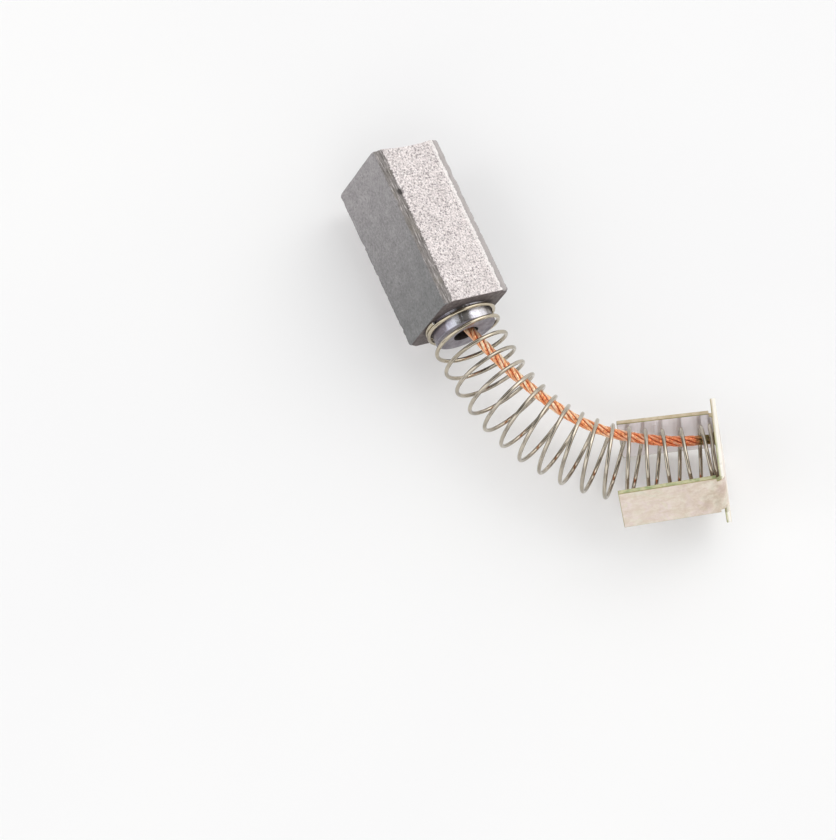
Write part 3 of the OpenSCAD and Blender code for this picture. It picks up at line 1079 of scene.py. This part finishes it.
def strip_mesh(side):
    """A fold and its arm on one side: vertices in the clip's coordinates, faces and zones."""
    fold_height = ARM_H - 2 * FOLD_NOTCH
    bend = math.pi / 2 - ARM_SPLAY
    reach = CLIP_L - side * ARM_SKEW / 2
    length = (reach - SHEET_T - FOLD_R) / math.cos(ARM_SPLAY)
    centre = np.array([-FOLD_R, CLIP_W / 2 - FOLD_R - SHEET_T])
    middle_r = FOLD_R + SHEET_T / 2
    rings, zones = [], []

    def add(angle, past_fold, height, inset=0.0, zone=None):
        section, round_it = strip_section(height, inset)
        out = np.array([math.cos(angle), math.sin(angle)])
        ahead = np.array([-out[1], out[0]])
        middle = centre + middle_r * out + past_fold * ahead
        plan = middle + section[:, :1] * out
        rings.append(np.column_stack([plan[:, 0], side * plan[:, 1], section[:, 1]]))
        zones.extend([zone] * len(round_it) if zone is not None else round_it)

    def nibble(along):
        """Uneven shearing of the long edges."""
        return 0.03 * clamp01(noise_at([(along, 3.0 * side, 0.0)], 0.9, 6)[0])

    add(0, -RIM - 0.005, fold_height)
    for angle in np.linspace(0, bend, 15):
        add(angle, 0, fold_height)
    add(bend, SHOULDER, fold_height, zone=SHEARED)
    add(bend, 2 * SHOULDER, ARM_H - 2 * (RIM + GUARD))
    for a in RIM_ANGLES[1:]:
        past_fold = 2 * SHOULDER + RIM * (1 - math.cos(a))
        add(bend, past_fold, ARM_H - 2 * RIM * (1 - math.sin(a)))
    for along in np.linspace(RIM + GUARD, length - RIM - GUARD, 30):
        add(bend, along, ARM_H - nibble(along))
    end_height = ARM_H - nibble(length - RIM - GUARD)
    for a in RIM_ANGLES:
        inset = RIM * (1 - math.cos(a))
        add(bend, length - RIM * (1 - math.sin(a)), end_height, inset, ROUNDED)
    zones[-len(rings[0]):] = [SHEARED] * len(rings[0])
    add(bend, length, end_height, RIM + GUARD)
    zones = zones[:-len(rings[0])] + [SHEARED, SHEARED]
    faces = loft_faces(len(rings), len(rings[0]))
    if side > 0:
        faces = [face[::-1] for face in faces]
    return np.concatenate(rings), faces, zones


def clip_sheet():
    """Folded sheet with rounded rims: the plate with its ears, and two arms folded forward."""
    vertices, faces, zones = [], [], []
    for made, made_faces, made_zones in (plate_mesh(), strip_mesh(1), strip_mesh(-1)):
        first = sum(len(v) for v in vertices)
        faces += [[first + i for i in face] for face in made_faces]
        vertices.append(made)
        zones += made_zones
    local = np.concatenate(vertices)
    make_piece(
        "clip_sheet", local @ clip_turn.T + PLATE_CENTRE, faces,
        [plated_sheet(), plated_edge(), plated_rim()], "terminal_clip",
        {"clip_mm": local}, zones,
    )


def contact_plug():
    """The plug keeps its CAD shape, and gets a material."""
    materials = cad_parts["contact_plug"].data.materials
    materials.clear()
    materials.append(contact_powder())


# ---------------------------------------------------------------- studio


# Direction of each region of the sky, and the (cosine of the angle from it, colour) at the two
# ends of a ramp over the sky; the regions are multiplied together
SKY = (
    ((-0.02, -0.10, 0.995), (0.875, (0.98, 0.98, 0.98, 1)), (0.925, (0.05, 0.045, 0.04, 1))),
    ((-0.66, 0.64, 0.39), (0.90, WHITE), (0.97, (0.25, 0.25, 0.25, 1))),
    ((-0.80, -0.59, 0.10), (0.88, WHITE), (0.97, (0.55, 0.55, 0.56, 1))),
    ((0.62, 0.38, 0.68), (0.77, WHITE), (0.92, (1.75, 1.74, 1.72, 1))),
    ((0.0, -0.62, 0.78), (0.90, WHITE), (0.97, (1.6, 1.6, 1.6, 1))),
)

# Name, direction towards the lamp, strength, and spread in degrees
SUNS = (
    ("key", (0.58, 0.42, 0.70), 0.26, 34),
    ("fill", (-0.72, -0.30, 0.62), 0.30, 46),
)

# Half the side of the table in metres, and the share of plain white in it as the camera sees it,
# which keeps its shadows pale
FLOOR_HALF, FLOOR_WHITE = 1.5, 0.17

# The photograph's view: along +Y and down at an angle; the sensor spans the picture's height
CAMERA_ELEVATION = math.radians(71)
CAMERA_TARGET = (-9.625, -6.184, 0.0)
CAMERA_DISTANCE, VIEW_HEIGHT, SENSOR = 278.85, 70.98, 36


def floor():
    mesh = bpy.data.meshes.new("floor")
    corners = [(x * FLOOR_HALF, y * FLOOR_HALF, 0) for x, y in ((-1, -1), (1, -1), (1, 1), (-1, 1))]
    mesh.from_pydata(corners, [], [(0, 1, 2, 3)])
    p = Paint("pale_table")
    cloud = p.noise(p.object_mm(), 0.02, 2)
    colour = p.ramp(cloud, (0.3, srgb(243, 243, 244)), (0.7, srgb(247, 247, 247)))
    mesh.materials.append(p.finish(colour, 0.7, 0.0))
    p.whiten(FLOOR_WHITE)
    made = bpy.data.objects.new("floor", mesh)
    bpy.context.scene.collection.objects.link(made)


def sky():
    """A pale dome with darker and brighter regions, which the camera itself sees as white."""
    world = bpy.data.worlds.new("studio")
    bpy.context.scene.world = world
    world.use_nodes = True
    nodes = Nodes(world.node_tree)
    direction = nodes.node("TexCoord", output="Generated")
    dome = WHITE[:3]
    for toward, (low, low_colour), (high, high_colour) in SKY:
        near = nodes.fit(nodes.dot(direction, toward), low, high)
        region = nodes.mix(near, low_colour, high_colour)
        dome = nodes.node("VectorMath", {0: dome, 1: region}, operation="MULTIPLY")
    camera_ray = nodes.node("LightPath", output="Is Camera Ray")
    background = world.node_tree.nodes["Background"]
    nodes.put(background.inputs["Color"], nodes.mix(camera_ray, dome, WHITE))


def lamps():
    for name, toward, strength, spread in SUNS:
        lamp = bpy.data.lights.new(name, "SUN")
        lamp.energy = strength
        lamp.angle = math.radians(spread)
        made = bpy.data.objects.new(name, lamp)
        made.rotation_mode = "QUATERNION"
        made.rotation_quaternion = Vector(toward).to_track_quat("Z", "Y")
        bpy.context.scene.collection.objects.link(made)


def camera():
    back = Vector((0, -math.cos(CAMERA_ELEVATION), math.sin(CAMERA_ELEVATION)))
    data = bpy.data.cameras.new("camera")
    data.sensor_width = SENSOR
    data.lens = SENSOR * CAMERA_DISTANCE / VIEW_HEIGHT
    data.clip_start, data.clip_end = 0.01, 10
    made = bpy.data.objects.new("camera", data)
    made.location = (Vector(CAMERA_TARGET) + back * CAMERA_DISTANCE) * MM
    made.rotation_mode = "QUATERNION"
    made.rotation_quaternion = (-back).to_track_quat("-Z", "Y")
    bpy.context.scene.collection.objects.link(made)
    bpy.context.scene.camera = made


bpy.context.scene.view_settings.view_transform = "Standard"
camera()
floor()
sky()
lamps()
carbon_block()
spring_wire()
shunt_rope()
clip_sheet()
contact_plug()
